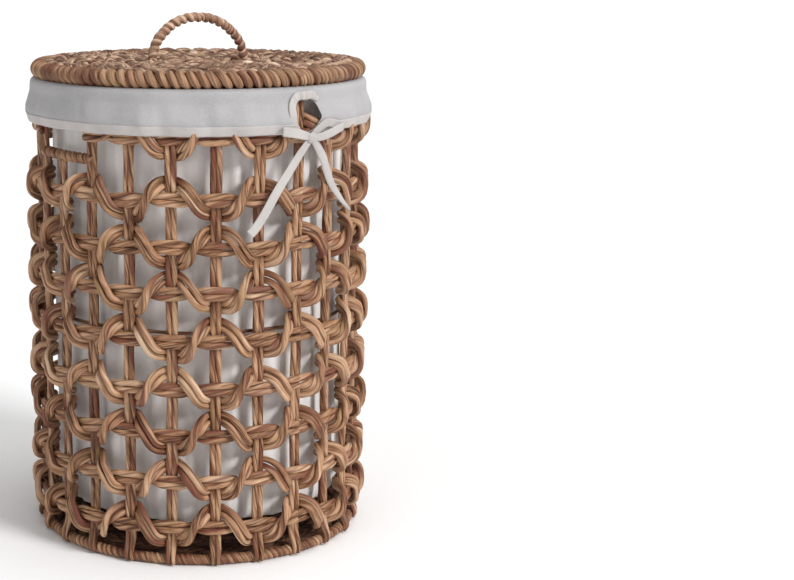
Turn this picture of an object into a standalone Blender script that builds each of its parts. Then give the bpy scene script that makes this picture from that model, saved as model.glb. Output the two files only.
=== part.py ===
"""A round woven laundry basket with a cloth liner and a lift-off lid.

Metres, +Z up. The origin is the centre of the base on the floor. The liner's tie is at the front (-Y)
and the two hand holes are at the sides (-X and +X). An angle round the basket is in degrees from the
front, positive towards +X. The shell is woven on 24 uprights: straight courses run outside the
uprights, and each course carries a wavy strand that goes behind every upright and over the course
between two uprights.
"""

import math

import bmesh
import bpy
from mathutils import Matrix, Vector

# --- Driving dimensions ---------------------------------------------------------------------------
WALL_RADIUS = 0.200  # circle through the centres of the uprights
STAKE_COUNT = 24
STAKE_WIDTH = 0.0120  # a pair of strands side by side
STAKE_DEPTH = 0.0060
STRAND_GAP = 0.0005  # between strands that lie on each other
FIT_GAP = 0.0003  # between pieces that touch

BASE_RING_RADIUS = 0.1995
BASE_RING_TUBE = 0.0065
RIM_HOOP_TUBE = 0.0050
RIM_HOOP_HEIGHT = 0.5700
MID_HOOP_TUBE = 0.0020
MID_HOOP_HEIGHT = 0.2870
BASE_PANEL_THICKNESS = 0.0060

COURSE_COUNT = 8  # full courses, below the hand holes
LOWEST_COURSE = 0.0490
COURSE_PITCH = 0.0570
TOP_COURSE_HEIGHT = 0.5200
COURSE_SECTION = (0.0136, 0.0054)  # height and depth of the pair of strands
WAVE_SECTION = (0.0130, 0.0052)
WAVE_SWING = 0.0190  # how far a wave goes above and below its course
WAVE_EASE = 0.6  # how much flatter than a cosine a wave is behind the uprights, and steeper in between

HAND_HOLE_ANGLES = (-90, 90)
HAND_BAR_HEIGHT = 0.4900
HAND_BAR_TUBE = 0.0050
TOP_WAVE_ENDS = (60, 45)  # front, back: a top wave ends behind the upright at this angle from its middle

CLOTH = 0.0012
BAG_RADIUS = 0.1835
BAG_FLOOR = 0.0400
CUFF_BOTTOM = 0.5230
CUFF_RADIUS_TOP = 0.2135
CUFF_RADIUS_BOTTOM = 0.2180
CUFF_BEND = CUFF_BOTTOM + 0.014  # the cuff leans in above this height
CUFF_SHOULDER = 0.005
CUFF_PRESS = 0.0012  # how far the cuff presses the top waves in
KEYHOLE_ANGLE = 0.6
KEYHOLE_HEIGHT = 0.5450
KEYHOLE_RADII = (0.0185, 0.0165)
TAPE_WIDTH = 0.0090
TAPE_THICKNESS = 0.0012

LID_RADIUS = 0.2100
LID_ROLL_TUBE = 0.0110
LID_PANEL_THICKNESS = 0.0090
HANDLE_SPAN_RADIUS = 0.0580
HANDLE_TUBE = 0.0050
HANDLE_TURN = -30  # angle between the handle and the X axis

# --- Worked out from them -------------------------------------------------------------------------
STAKE_STEP = 360 / STAKE_COUNT
COURSE_RADIUS = WALL_RADIUS + STAKE_DEPTH / 2 + STRAND_GAP + COURSE_SECTION[1] / 2
WAVE_INNER_RADIUS = WALL_RADIUS - STAKE_DEPTH / 2 - STRAND_GAP - WAVE_SECTION[1] / 2
WAVE_OUTER_RADIUS = COURSE_RADIUS + COURSE_SECTION[1] / 2 + STRAND_GAP + WAVE_SECTION[1] / 2 + 0.0012
MID_HOOP_RADIUS = WAVE_INNER_RADIUS - WAVE_SECTION[1] / 2 - STRAND_GAP - MID_HOOP_TUBE
STAKE_BOTTOM = 2 * BASE_RING_TUBE + FIT_GAP
STAKE_TOP = RIM_HOOP_HEIGHT - RIM_HOOP_TUBE - FIT_GAP
LINER_TOP = RIM_HOOP_HEIGHT + RIM_HOOP_TUBE + FIT_GAP + CLOTH
LID_ROLL_HEIGHT = LINER_TOP + FIT_GAP + LID_ROLL_TUBE
LID_TOP = LID_ROLL_HEIGHT + 0.0060

WICKER = (0.50, 0.31, 0.17)
WICKER_DARK = (0.38, 0.23, 0.13)
COTTON = (0.80, 0.78, 0.76)


def clear_scene():
    for obj in list(bpy.data.objects):
        bpy.data.objects.remove(obj, do_unlink=True)


def new_collection(name):
    collection = bpy.data.collections.new(name)
    bpy.context.scene.collection.children.link(collection)
    return collection


def material(name, colour, roughness):
    made = bpy.data.materials.new(name)
    made.use_nodes = True
    shader = made.node_tree.nodes["Principled BSDF"]
    shader.inputs["Base Color"].default_value = (*colour, 1)
    shader.inputs["Roughness"].default_value = roughness
    shader.inputs["Metallic"].default_value = 0
    return made


def on_wall(radius, angle, height):
    """The point at an angle in degrees from the front, positive towards +X."""
    turn = math.radians(angle)
    return Vector((radius * math.sin(turn), -radius * math.cos(turn), height))


def finish(obj, parts, look):
    for collection in list(obj.users_collection):
        collection.objects.unlink(obj)
    parts.objects.link(obj)
    obj.data.materials.clear()
    obj.data.materials.append(look)
    return obj


def section_curve(guides, name, size, sides):
    """A flat closed outline that a strand is swept with: its X is the strand's depth, its Y its height."""
    height, depth = size
    curve = bpy.data.curves.new(name, "CURVE")
    curve.dimensions = "2D"
    spline = curve.splines.new("POLY")
    spline.points.add(sides - 1)
    start = math.pi / sides
    stretch = 1 / math.cos(start)  # so that the outline's flats have the full depth and height
    for i, point in enumerate(spline.points):
        turn = start - 2 * math.pi * i / sides
        point.co = (depth / 2 * stretch * math.cos(turn), height / 2 * stretch * math.sin(turn), 0, 1)
    spline.use_cyclic_u = True
    obj = bpy.data.objects.new(name, curve)
    obj.hide_render = True
    obj.display_type = "WIRE"
    guides.objects.link(obj)
    return obj


def strand(name, points, section, closed, parts, look):
    """A flattened strand along the points, whose depth stays level and across the strand."""
    curve = bpy.data.curves.new(name, "CURVE")
    curve.dimensions = "3D"
    curve.twist_mode = "Z_UP"
    curve.bevel_mode = "OBJECT"
    curve.bevel_object = section
    curve.use_fill_caps = True
    spline = curve.splines.new("POLY")
    spline.points.add(len(points) - 1)
    for point, place in zip(spline.points, points):
        point.co = (*place, 1)
    spline.use_cyclic_u = closed
    obj = bpy.data.objects.new(name, curve)
    parts.objects.link(obj)
    obj.data.materials.append(look)
    return obj


def tube(name, points, radius, closed, parts, look, resolution=2):
    curve = bpy.data.curves.new(name, "CURVE")
    curve.dimensions = "3D"
    curve.bevel_depth = radius
    curve.bevel_resolution = resolution
    curve.use_fill_caps = True
    spline = curve.splines.new("POLY")
    spline.points.add(len(points) - 1)
    for point, place in zip(spline.points, points):
        point.co = (*place, 1)
    spline.use_cyclic_u = closed
    obj = bpy.data.objects.new(name, curve)
    parts.objects.link(obj)
    obj.data.materials.append(look)
    return obj


def hoop(name, radius, tube_radius, height, parts, look, around=36, across=6):
    bpy.ops.mesh.primitive_torus_add(
        major_segments=around,
        minor_segments=across,
        major_radius=radius,
        minor_radius=tube_radius,
        location=(0, 0, height),
    )
    obj = bpy.context.object
    obj.name = name
    obj.data.name = name
    obj.data.shade_smooth()
    return finish(obj, parts, look)


def disc(name, radius, bottom, top, parts, look, sides=48):
    bpy.ops.mesh.primitive_cylinder_add(
        vertices=sides, radius=radius, depth=top - bottom, location=(0, 0, (bottom + top) / 2)
    )
    obj = bpy.context.object
    obj.name = name
    obj.data.name = name
    return finish(obj, parts, look)


def turned_sheet(name, profile, thickness, parts, look, around=48):
    """Cloth of even thickness, turned round Z from an open profile of (radius, height) points."""
    mesh = bpy.data.meshes.new(name)
    mesh.from_pydata([(r, 0, z) for r, z in profile], [(i, i + 1) for i in range(len(profile) - 1)], [])
    obj = bpy.data.objects.new(name, mesh)
    parts.objects.link(obj)
    screw = obj.modifiers.new("Turn", "SCREW")
    screw.steps = around
    screw.render_steps = around
    screw.use_merge_vertices = True
    screw.merge_threshold = 0.00005
    solidify = obj.modifiers.new("Cloth", "SOLIDIFY")
    solidify.thickness = thickness
    solidify.offset = 0
    obj.data.materials.append(look)
    return obj


def mesh_from_curve(obj, parts):
    """A mesh object in place of a curve, with the curve's loose caps welded on."""
    graph = bpy.context.evaluated_depsgraph_get()
    mesh = bpy.data.meshes.new_from_object(obj.evaluated_get(graph))
    shape = bmesh.new()
    shape.from_mesh(mesh)
    bmesh.ops.remove_doubles(shape, verts=shape.verts, dist=0.00001)
    shape.to_mesh(mesh)
    shape.free()
    name = obj.name
    made = bpy.data.objects.new(name + "_mesh", mesh)
    made.matrix_world = obj.matrix_world
    bpy.data.objects.remove(obj, do_unlink=True)
    made.name = name
    parts.objects.link(made)
    return made


def make_stakes(parts, look):
    shared = {}
    for i in range(STAKE_COUNT):
        angle = i * STAKE_STEP
        short = any((angle - hole) % 360 == 0 for hole in HAND_HOLE_ANGLES)
        top = HAND_BAR_HEIGHT - HAND_BAR_TUBE - FIT_GAP if short else STAKE_TOP
        if top not in shared:
            bpy.ops.mesh.primitive_cylinder_add(vertices=10, radius=0.5, depth=top - STAKE_BOTTOM)
            shared[top] = bpy.context.object.data
            shared[top].transform(Matrix.Diagonal((STAKE_WIDTH, STAKE_DEPTH, 1, 1)))
            bpy.data.objects.remove(bpy.context.object)
        obj = bpy.data.objects.new(f"stake_{i + 1:02d}", shared[top])
        obj.location = on_wall(WALL_RADIUS, angle, (top + STAKE_BOTTOM) / 2)
        obj.rotation_euler.z = math.radians(angle)
        parts.objects.link(obj)
        if not shared[top].materials:
            shared[top].materials.append(look)


def course_points(first, last, height):
    """A point in front of each upright: the straight stretches between them dip inwards."""
    count = round((last - first) / STAKE_STEP)
    return [on_wall(COURSE_RADIUS, first + i * STAKE_STEP, height) for i in range(count + 1)]


def wave_points(first, last, height, sign, outer_radius):
    """The bends of a wave: two behind each upright's edges and two over the course, in each span."""
    points = []
    for i in range(round((last - first) / STAKE_STEP)):
        for share, radius in (
            (0.13, WAVE_INNER_RADIUS),
            (0.28, outer_radius),
            (0.72, outer_radius),
            (0.87, WAVE_INNER_RADIUS),
        ):
            angle = first + (i + share) * STAKE_STEP
            eased = angle / STAKE_STEP - WAVE_EASE * math.sin(2 * math.pi * share) / (2 * math.pi)
            swing = WAVE_SWING * math.cos(math.pi * eased)
            points.append(on_wall(radius, angle, height + sign * swing))
    return points


def make_weave(parts, guides, course_look, wave_look):
    course_section = section_curve(guides, "course_section", COURSE_SECTION, 6)
    wave_section = section_curve(guides, "wave_section", WAVE_SECTION, 4)
    for row in range(1, COURSE_COUNT + 1):
        height = LOWEST_COURSE + (COURSE_COUNT - row) * COURSE_PITCH
        ring = course_points(0, 360 - STAKE_STEP, height)
        strand(f"course_{row}", ring, course_section, True, parts, course_look)
        wave = wave_points(0, 360, height, -1 if row % 2 else 1, WAVE_OUTER_RADIUS)
        strand(f"wave_{row}", wave, wave_section, True, parts, wave_look)
    for side, middle, reach in (("front", 0, TOP_WAVE_ENDS[0]), ("back", 180, TOP_WAVE_ENDS[1])):
        half = 90 - STAKE_STEP
        ends = [on_wall(COURSE_RADIUS, middle + turn, TOP_COURSE_HEIGHT) for turn in (-half - 3, half + 3)]
        arc = course_points(middle - half, middle + half, TOP_COURSE_HEIGHT)
        strand(f"top_course_{side}", [ends[0], *arc, ends[1]], course_section, False, parts, course_look)
        pressed = WAVE_OUTER_RADIUS - CUFF_PRESS
        arc = wave_points(middle - reach, middle + reach, TOP_COURSE_HEIGHT, 1, pressed)
        end_height = TOP_COURSE_HEIGHT + WAVE_SWING * math.cos(math.pi * reach / STAKE_STEP)
        first = on_wall(WAVE_INNER_RADIUS, middle - reach - 1, end_height)
        last = on_wall(WAVE_INNER_RADIUS, middle + reach + 1, end_height)
        strand(f"top_wave_{side}", [first, *arc, last], wave_section, False, parts, wave_look)


def make_frame(parts, guides, look, dark_look):
    ring_section = section_curve(guides, "base_ring_section", (2 * BASE_RING_TUBE, 2 * BASE_RING_TUBE), 8)
    ring = [on_wall(BASE_RING_RADIUS, i * 360 / 48, BASE_RING_TUBE) for i in range(48)]
    strand("base_ring", ring, ring_section, True, parts, look)
    hoop("rim_hoop", WALL_RADIUS, RIM_HOOP_TUBE, RIM_HOOP_HEIGHT, parts, look)
    hoop("mid_hoop", MID_HOOP_RADIUS, MID_HOOP_TUBE, MID_HOOP_HEIGHT, parts, dark_look, 36, 5)
    panel_radius = BASE_RING_RADIUS - BASE_RING_TUBE - FIT_GAP
    middle = BASE_RING_TUBE
    half = BASE_PANEL_THICKNESS / 2
    disc("base_panel", panel_radius, middle - half, middle + half, parts, dark_look)
    edge = math.degrees((STAKE_WIDTH / 2 + FIT_GAP) / WALL_RADIUS)
    reach = STAKE_STEP - edge
    for name, angle in zip(("left", "right"), HAND_HOLE_ANGLES):
        points = [on_wall(WALL_RADIUS, angle + reach * (i / 4 - 1), HAND_BAR_HEIGHT) for i in range(9)]
        tube(f"hand_bar_{name}", points, HAND_BAR_TUBE, False, parts, look)


def cuff_radius(height):
    """The radius of the middle of the cuff's cloth at a height."""
    share = (height - CUFF_BEND) / (LINER_TOP - CLOTH / 2 - CUFF_SHOULDER - CUFF_BEND)
    return CUFF_RADIUS_BOTTOM + (CUFF_RADIUS_TOP - CUFF_RADIUS_BOTTOM) * min(max(share, 0), 1)


def cloth_plate(name, outline, offset, thickness):
    """A plate of cloth cut to an outline of (across, height) points, and laid along the cuff."""
    curve = bpy.data.curves.new(name, "CURVE")
    curve.dimensions = "2D"
    curve.fill_mode = "BOTH"
    curve.extrude = thickness / 2
    spline = curve.splines.new("POLY")
    spline.points.add(len(outline) - 1)
    for point, (across, height) in zip(spline.points, outline):
        point.co = (across, height, 0, 1)
    spline.use_cyclic_u = True
    obj = bpy.data.objects.new(name, curve)
    bpy.context.scene.collection.objects.link(obj)
    made = mesh_from_curve(obj, bpy.context.scene.collection)
    for vertex in made.data.vertices:
        across, height, out = vertex.co
        radius = cuff_radius(height) + offset
        vertex.co = on_wall(radius + out, math.degrees(across / CUFF_RADIUS_BOTTOM), height)
    return made


def keyhole_outline(grow):
    """The egg shape of the hole in the cuff, with its slit down to below the hem."""
    wide, tall = (radius + grow for radius in KEYHOLE_RADII)
    centre = math.radians(KEYHOLE_ANGLE) * CUFF_RADIUS_BOTTOM
    slit = 0.0020 + grow
    turns = [math.radians(-62 + i * 304 / 16) for i in range(17)]
    points = [(centre + wide * math.cos(t), KEYHOLE_HEIGHT + tall * math.sin(t)) for t in turns]
    bottom = CUFF_BOTTOM - 0.002 if grow else CUFF_BOTTOM - 0.010
    return [*points, (centre - slit, bottom), (centre + slit, bottom)]


def make_liner(parts, look):
    """The bag and the cuff are one cloth: from the bag's floor up over the rim hoop and down outside."""
    over = RIM_HOOP_HEIGHT + RIM_HOOP_TUBE + FIT_GAP + CLOTH / 2
    liner = turned_sheet(
        "liner",
        [
            (0, BAG_FLOOR),
            (BAG_RADIUS - 0.030, BAG_FLOOR),
            (BAG_RADIUS - 0.006, BAG_FLOOR + 0.006),
            (BAG_RADIUS, BAG_FLOOR + 0.030),
            (BAG_RADIUS, 0.545),
            (WALL_RADIUS - 0.0085, over - 0.003),
            (WALL_RADIUS - 0.0045, over),
            (CUFF_RADIUS_TOP - CUFF_SHOULDER, over),
            (CUFF_RADIUS_TOP, over - CUFF_SHOULDER),
            (CUFF_RADIUS_BOTTOM, CUFF_BEND),
            (CUFF_RADIUS_BOTTOM, CUFF_BOTTOM),
        ],
        CLOTH,
        parts,
        look,
    )
    cutter = cloth_plate("keyhole_cutter", keyhole_outline(0), 0, 0.020)
    cutter.hide_render = True
    cutter.display_type = "WIRE"
    cut = liner.modifiers.new("Keyhole", "BOOLEAN")
    cut.operation = "DIFFERENCE"
    cut.object = cutter


def ribbon_loop(name, side, reach, rise, radius, angle, height, section, parts, look):
    """A flattened loop of ribbon along the cuff, from beside the knot to its reach."""
    start, half = 0.0080, 0.0021
    turns = [math.radians(-90 + 45 * i) for i in range(5)]
    path = [(reach - half + half * math.cos(t), half * math.sin(t)) for t in turns]
    path += [(start + half - half * math.cos(t), -half * math.sin(t)) for t in turns]
    middle = (start + reach) / 2
    path.insert(5, (middle, half))
    path.append((middle, -half))
    points = []
    for along, out in path:
        lift = rise * math.sin(math.pi * along / reach * 0.75)
        points.append(on_wall(radius + out, angle + math.degrees(side * along / radius), height + lift))
    return strand(name, points if side > 0 else points[::-1], section, True, parts, look)


def make_tie(parts, guides, look):
    inner = keyhole_outline(0.0005)
    outer = keyhole_outline(TAPE_WIDTH * 0.75)
    band = [*inner[:17], *reversed(outer[:17])]
    on_cuff = CLOTH / 2 + 2 * FIT_GAP + TAPE_THICKNESS / 2
    finish(cloth_plate("keyhole_binding", band, on_cuff, TAPE_THICKNESS), parts, look)
    ribbon = section_curve(guides, "ribbon_section", (TAPE_WIDTH, TAPE_THICKNESS), 4)
    knot_radius = CUFF_RADIUS_BOTTOM + on_cuff + TAPE_THICKNESS + 0.0027
    knot_angle, knot_height = 0.6, 0.5175
    bpy.ops.mesh.primitive_uv_sphere_add(segments=12, ring_count=8, radius=1)
    knot = bpy.context.object
    knot.name = "tie_knot"
    knot.data.transform(Matrix.Diagonal((0.0068, 0.0034, 0.0062, 1)))
    knot.location = on_wall(knot_radius, knot_angle, knot_height)
    finish(knot, parts, look)
    for name, side, reach, rise in (("left", -1, 0.042, 0.003), ("right", 1, 0.046, 0.009)):
        ribbon_loop(
            f"tie_loop_{name}", side, reach, rise, knot_radius, knot_angle, knot_height, ribbon, parts, look
        )
    for name, turn, drop in (("left", -20.6, 0.106), ("right", 17.9, 0.089)):
        points = []
        for i in range(9):
            share = i / 8
            angle = knot_angle + turn * (0.12 + 0.88 * share)
            height = knot_height - 0.0120 - (drop - 0.0120) * share
            points.append(on_wall(knot_radius - 0.0012, angle, height))
        strand(f"tie_tail_{name}", points, ribbon, False, parts, look)


def make_lid(parts, look):
    roll_radius = LID_RADIUS - LID_ROLL_TUBE
    hoop("lid_roll", roll_radius, LID_ROLL_TUBE, LID_ROLL_HEIGHT, parts, look, 48, 8)
    edge = roll_radius - LID_ROLL_TUBE - FIT_GAP
    panel = disc("lid_panel", edge, LID_TOP - LID_PANEL_THICKNESS, LID_TOP, parts, look)
    along = Vector((math.cos(math.radians(HANDLE_TURN)), math.sin(math.radians(HANDLE_TURN)), 0))
    foot = LID_TOP - LID_PANEL_THICKNESS - 0.003
    spring = LID_TOP + 0.001
    points = [-along * HANDLE_SPAN_RADIUS + Vector((0, 0, foot))]
    for i in range(13):
        turn = math.pi * (1 - i / 12)
        side = along * HANDLE_SPAN_RADIUS * math.cos(turn)
        points.append(side + Vector((0, 0, spring + (HANDLE_SPAN_RADIUS - 0.004) * math.sin(turn))))
    points.append(along * HANDLE_SPAN_RADIUS + Vector((0, 0, foot)))
    tube("lid_handle", points, HANDLE_TUBE, False, parts, look)
    for side in (-1, 1):
        bpy.ops.mesh.primitive_cylinder_add(
            vertices=16,
            radius=HANDLE_TUBE + 0.0008,
            depth=0.06,
            location=along * HANDLE_SPAN_RADIUS * side + Vector((0, 0, LID_TOP)),
        )
        drill = bpy.context.object
        drill.name = "handle_drill"
        drill.hide_render = True
        drill.display_type = "WIRE"
        cut = panel.modifiers.new("Handle hole", "BOOLEAN")
        cut.operation = "DIFFERENCE"
        cut.object = drill


def lifts_off(name, parts, first_words):
    """Parents the pieces that come out together to one empty."""
    empty = bpy.data.objects.new(name, None)
    for obj in parts.objects:
        if obj.name.split("_")[0] in first_words:
            obj.parent = empty
    parts.objects.link(empty)


def main():
    clear_scene()
    parts = new_collection("laundry_basket")
    guides = new_collection("guides")
    stake_look = material("stake_fibre", WICKER, 0.7)
    course_look = material("course_fibre", WICKER, 0.7)
    wave_look = material("wave_fibre", WICKER, 0.7)
    dark_look = material("base_fibre", WICKER_DARK, 0.75)
    cotton = material("cotton", COTTON, 0.9)
    make_stakes(parts, stake_look)
    make_weave(parts, guides, course_look, wave_look)
    make_frame(parts, guides, course_look, dark_look)
    make_liner(parts, cotton)
    make_tie(parts, guides, cotton)
    make_lid(parts, wave_look)
    lifts_off("liner_lift", parts, ("liner", "keyhole", "tie"))
    lifts_off("lid_lift", parts, ("lid",))


main()
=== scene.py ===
import itertools
import math
import random

import bpy
import numpy as np
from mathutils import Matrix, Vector


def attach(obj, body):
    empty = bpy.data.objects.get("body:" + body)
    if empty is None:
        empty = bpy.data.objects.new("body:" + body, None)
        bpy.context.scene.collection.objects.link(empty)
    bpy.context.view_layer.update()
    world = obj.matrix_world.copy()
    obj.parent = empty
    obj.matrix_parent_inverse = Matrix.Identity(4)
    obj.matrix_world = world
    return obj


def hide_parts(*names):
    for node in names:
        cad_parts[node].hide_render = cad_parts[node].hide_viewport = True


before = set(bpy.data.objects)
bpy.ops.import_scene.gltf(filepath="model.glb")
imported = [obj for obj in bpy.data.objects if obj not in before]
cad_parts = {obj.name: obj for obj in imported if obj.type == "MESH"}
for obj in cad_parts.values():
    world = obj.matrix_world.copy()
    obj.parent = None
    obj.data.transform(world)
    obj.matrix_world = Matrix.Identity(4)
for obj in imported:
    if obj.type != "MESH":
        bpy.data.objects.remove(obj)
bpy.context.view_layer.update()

print("hamper: the packed frame is in")


def smooth(value, low, high):
    share = np.clip((value - low) / (high - low), 0, 1)
    return share * share * (3 - 2 * share)


def unit(rows):
    return rows / np.linalg.norm(rows, axis=-1, keepdims=True)


def onWall(radius, degrees, height):
    # the front of the wall is at 0 degrees and faces -Y. Degrees grow to the right
    turn = np.radians(degrees)
    radius, height = radius + 0 * turn, height + 0 * turn
    return np.stack([radius * np.sin(turn), -radius * np.cos(turn), height], axis=-1)


def wander(rng, count, size, waves):
    # a smooth random line that ends where it starts
    share = np.arange(count) / count
    total = sum(rng.gauss(0, 1) * np.sin(2 * np.pi * (wave * share + rng.random()))
                for wave in waves)
    return size * total / math.sqrt(len(waves))


def smoothLine(points, count):
    # a Catmull-Rom line through the points, evenly spread along its length
    points = np.asarray(points, float)
    padded = np.vstack([2 * points[0] - points[1], points, 2 * points[-1] - points[-2]])
    place = np.linspace(0, len(points) - 1, 12 * len(points) + 1)
    first = np.minimum(place.astype(int), len(points) - 2)
    t = (place - first)[:, None]
    a, b, c, d = (padded[first + i] for i in range(4))
    line = 0.5 * (2 * b + (c - a) * t + (2 * a - 5 * b + 4 * c - d) * t**2
                  + (3 * b - a - 3 * c + d) * t**3)
    steps = np.concatenate([[0], np.cumsum(np.linalg.norm(np.diff(line, axis=0), axis=1))])
    even = np.linspace(0, steps[-1], count)
    return np.stack([np.interp(even, steps, values) for values in line.T], axis=1)


def headings(centres, closed):
    if closed:
        return unit(np.roll(centres, -1, axis=0) - np.roll(centres, 1, axis=0))
    return unit(np.gradient(centres, axis=0))


def rowsOf(vector, count):
    return np.zeros((count, 3)) + vector


def linked(name, data):
    obj = bpy.data.objects.new(name, data)
    bpy.context.scene.collection.objects.link(obj)
    return obj


def makeActive(obj):
    for other in bpy.context.selected_objects:
        other.select_set(False)
    bpy.context.view_layer.objects.active = obj
    obj.select_set(True)


def useModifier(obj, kind, **settings):
    makeActive(obj)
    modifier = obj.modifiers.new(kind.title(), kind)
    for key, value in settings.items():
        setattr(modifier, key, value)
    bpy.ops.object.modifier_apply(modifier=modifier.name)


def placeInMesh(obj):
    makeActive(obj)
    bpy.ops.object.transform_apply(location=True, rotation=True, scale=True)


def turnOutwards(obj):
    makeActive(obj)
    bpy.ops.object.mode_set(mode="EDIT")
    bpy.ops.mesh.select_all(action="SELECT")
    bpy.ops.mesh.normals_make_consistent(inside=False)
    bpy.ops.object.mode_set(mode="OBJECT")


def smoothAll(obj):
    obj.data.polygons.foreach_set("use_smooth", [True] * len(obj.data.polygons))
    obj.data.update()


def dress(obj, material, body, standsFor=()):
    obj.data.materials.clear()
    obj.data.materials.append(material)
    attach(obj, body)
    if standsFor:
        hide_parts(*standsFor)
    return obj


def tint(red, green, blue):
    def linear(value):
        value /= 255
        return value / 12.92 if value <= 0.04045 else ((value + 0.055) / 1.055) ** 2.4
    return (linear(red), linear(green), linear(blue))


class Shade:
    # wraps one output, so that sums written on it add Math nodes
    def __init__(self, sheet, socket):
        self.sheet, self.socket = sheet, socket

    def maths(self, operation, *values):
        return self.sheet.add("ShaderNodeMath", {"operation": operation}, dict(enumerate(values)))

    def __add__(self, other):
        return self.maths("ADD", self, other)

    def __sub__(self, other):
        return self.maths("SUBTRACT", self, other)

    def __mul__(self, other):
        return self.maths("MULTIPLY", self, other)


class NodeSheet:
    def __init__(self, name):
        self.material = bpy.data.materials.new(name)
        self.material.use_nodes = True
        self.tree = self.material.node_tree
        self.tree.nodes.clear()

    def add(self, kind, settings=None, sockets=None, out=0):
        node = self.tree.nodes.new(kind)
        for key, value in (settings or {}).items():
            if key == "stops":
                elements = node.color_ramp.elements
                elements.remove(elements[-1])
                elements[0].position, elements[0].color = value[0][0], (*value[0][1], 1)
                for place, colour in value[1:]:
                    elements.new(place).color = (*colour, 1)
            else:
                setattr(node, key, value)
        for key, value in (sockets or {}).items():
            if isinstance(value, Shade):
                self.tree.links.new(value.socket, node.inputs[key])
            else:
                node.inputs[key].default_value = value
        return Shade(self, node.outputs[out])

    def mix(self, factor, first, second):
        first, second = ((*c, 1) if isinstance(c, tuple) else c for c in (first, second))
        settings = {"data_type": "RGBA", "blend_type": "MIX"}
        return self.add("ShaderNodeMix", settings, {0: factor, 6: first, 7: second}, 2)

    def ramp(self, stops, value):
        return self.add("ShaderNodeValToRGB", {"stops": stops}, {0: value})

    def part(self, vector, axis):
        return self.add("ShaderNodeSeparateXYZ", None, {0: vector}, axis)

    def noise(self, place, scale, detail, roughness):
        return self.add("ShaderNodeTexNoise", None, {
            "Vector": place, "Scale": scale, "Detail": detail, "Roughness": roughness})

    def bump(self, strength, distance, height):
        return self.add("ShaderNodeBump", None, {
            "Strength": strength, "Distance": distance, "Height": height})

    def finish(self, sockets):
        surface = self.add("ShaderNodeBsdfPrincipled", None, sockets)
        output = self.tree.nodes.new("ShaderNodeOutputMaterial")
        self.tree.links.new(surface.socket, output.inputs["Surface"])
        return self.material


# each grain of the leaf: its scale along the cord, round it and from cord to cord, and its detail
leafGrains = {
    "blotch": (None, 2.6, 3.17, 2.0), "streak": (None, 13.0, 7.31, 3.0),
    "strands": (14.0, 30.0, 5.13, 3.0), "red": (7.0, 1.7, 1.93, 1.0),
    # the last grain below varies how dark the painted crease shade is along the cord
    "olive": (11.0, 2.3, 11.7, 1.0), "grooveShadeVary": (18.0, 4.0, 2.71, 2.0),
}
darkest, lightest = (0, 0, 0), (1, 1, 1)
leafRamps = {
    "red": [(0.53, darkest), (0.63, lightest)],
    "olive": [(0.58, darkest), (0.75, lightest)],
    # darkens the cord along its two creases: painted shade
    "grooveShade": [(0.0, lightest), (0.060, darkest), (0.410, darkest), (0.465, lightest),
               (0.520, darkest), (0.940, darkest), (1.0, lightest)],
    # varies along the cord how dark the painted crease shade is
    "grooveShadeVary": [(0.36, (0.25, 0.25, 0.25)), (0.62, lightest)],
}


def fibreMaterial(name, look):
    # dried leaf. The cord's own map holds metres along it, and across that the cord's number
    # plus the share of a turn round it
    sheet = NodeSheet(name)
    place = sheet.add("ShaderNodeTexCoord", out="UV")
    along, turned = sheet.part(place, "X"), sheet.part(place, "Y")
    number = turned.maths("FLOOR", turned)
    share = turned - number

    def grain(kind, ownAlong=None):
        alongScale, roundScale, numberScale, detail = leafGrains[kind]
        alongScale = ownAlong or alongScale
        vector = sheet.add("ShaderNodeCombineXYZ", None, {
            0: along * alongScale, 1: share * roundScale, 2: number * numberScale})
        return sheet.noise(vector, 1.0, detail, 0.55)

    tone = sheet.add("ShaderNodeTexWhiteNoise", {"noise_dimensions": "1D"}, {"W": number})
    blotch = grain("blotch", look["blotchAlong"])
    streak = grain("streak", look["streakAlong"])
    strands = grain("strands")
    mixed = blotch * look["blotch"] + streak * look["streak"] + tone * look["tone"]
    colour = sheet.ramp(look["stops"], mixed + strands * look["fine"] + look["shift"])
    for kind in ("red", "olive"):
        patch = sheet.ramp(leafRamps[kind], grain(kind))
        colour = sheet.mix(patch * look[kind + "Share"], colour, look[kind])
    # painted shade: the cord takes its darkest crease colour along its two creases, darker in some
    # stretches than in others
    grooveShade = sheet.ramp(leafRamps["grooveShade"], share)
    grooveShadeVary = sheet.ramp(leafRamps["grooveShadeVary"], grain("grooveShadeVary"))
    colour = sheet.mix(grooveShade * grooveShadeVary * look["grooveShadeShare"], colour, look["grooveShade"])
    bump = sheet.bump(look["bump"], 0.0006, streak * 0.6 + strands * 0.9)
    return sheet.finish({"Base Color": colour, "Roughness": streak * 0.25 + look["rough"],
                         "Normal": bump, "Specular IOR Level": 0.35})


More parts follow.
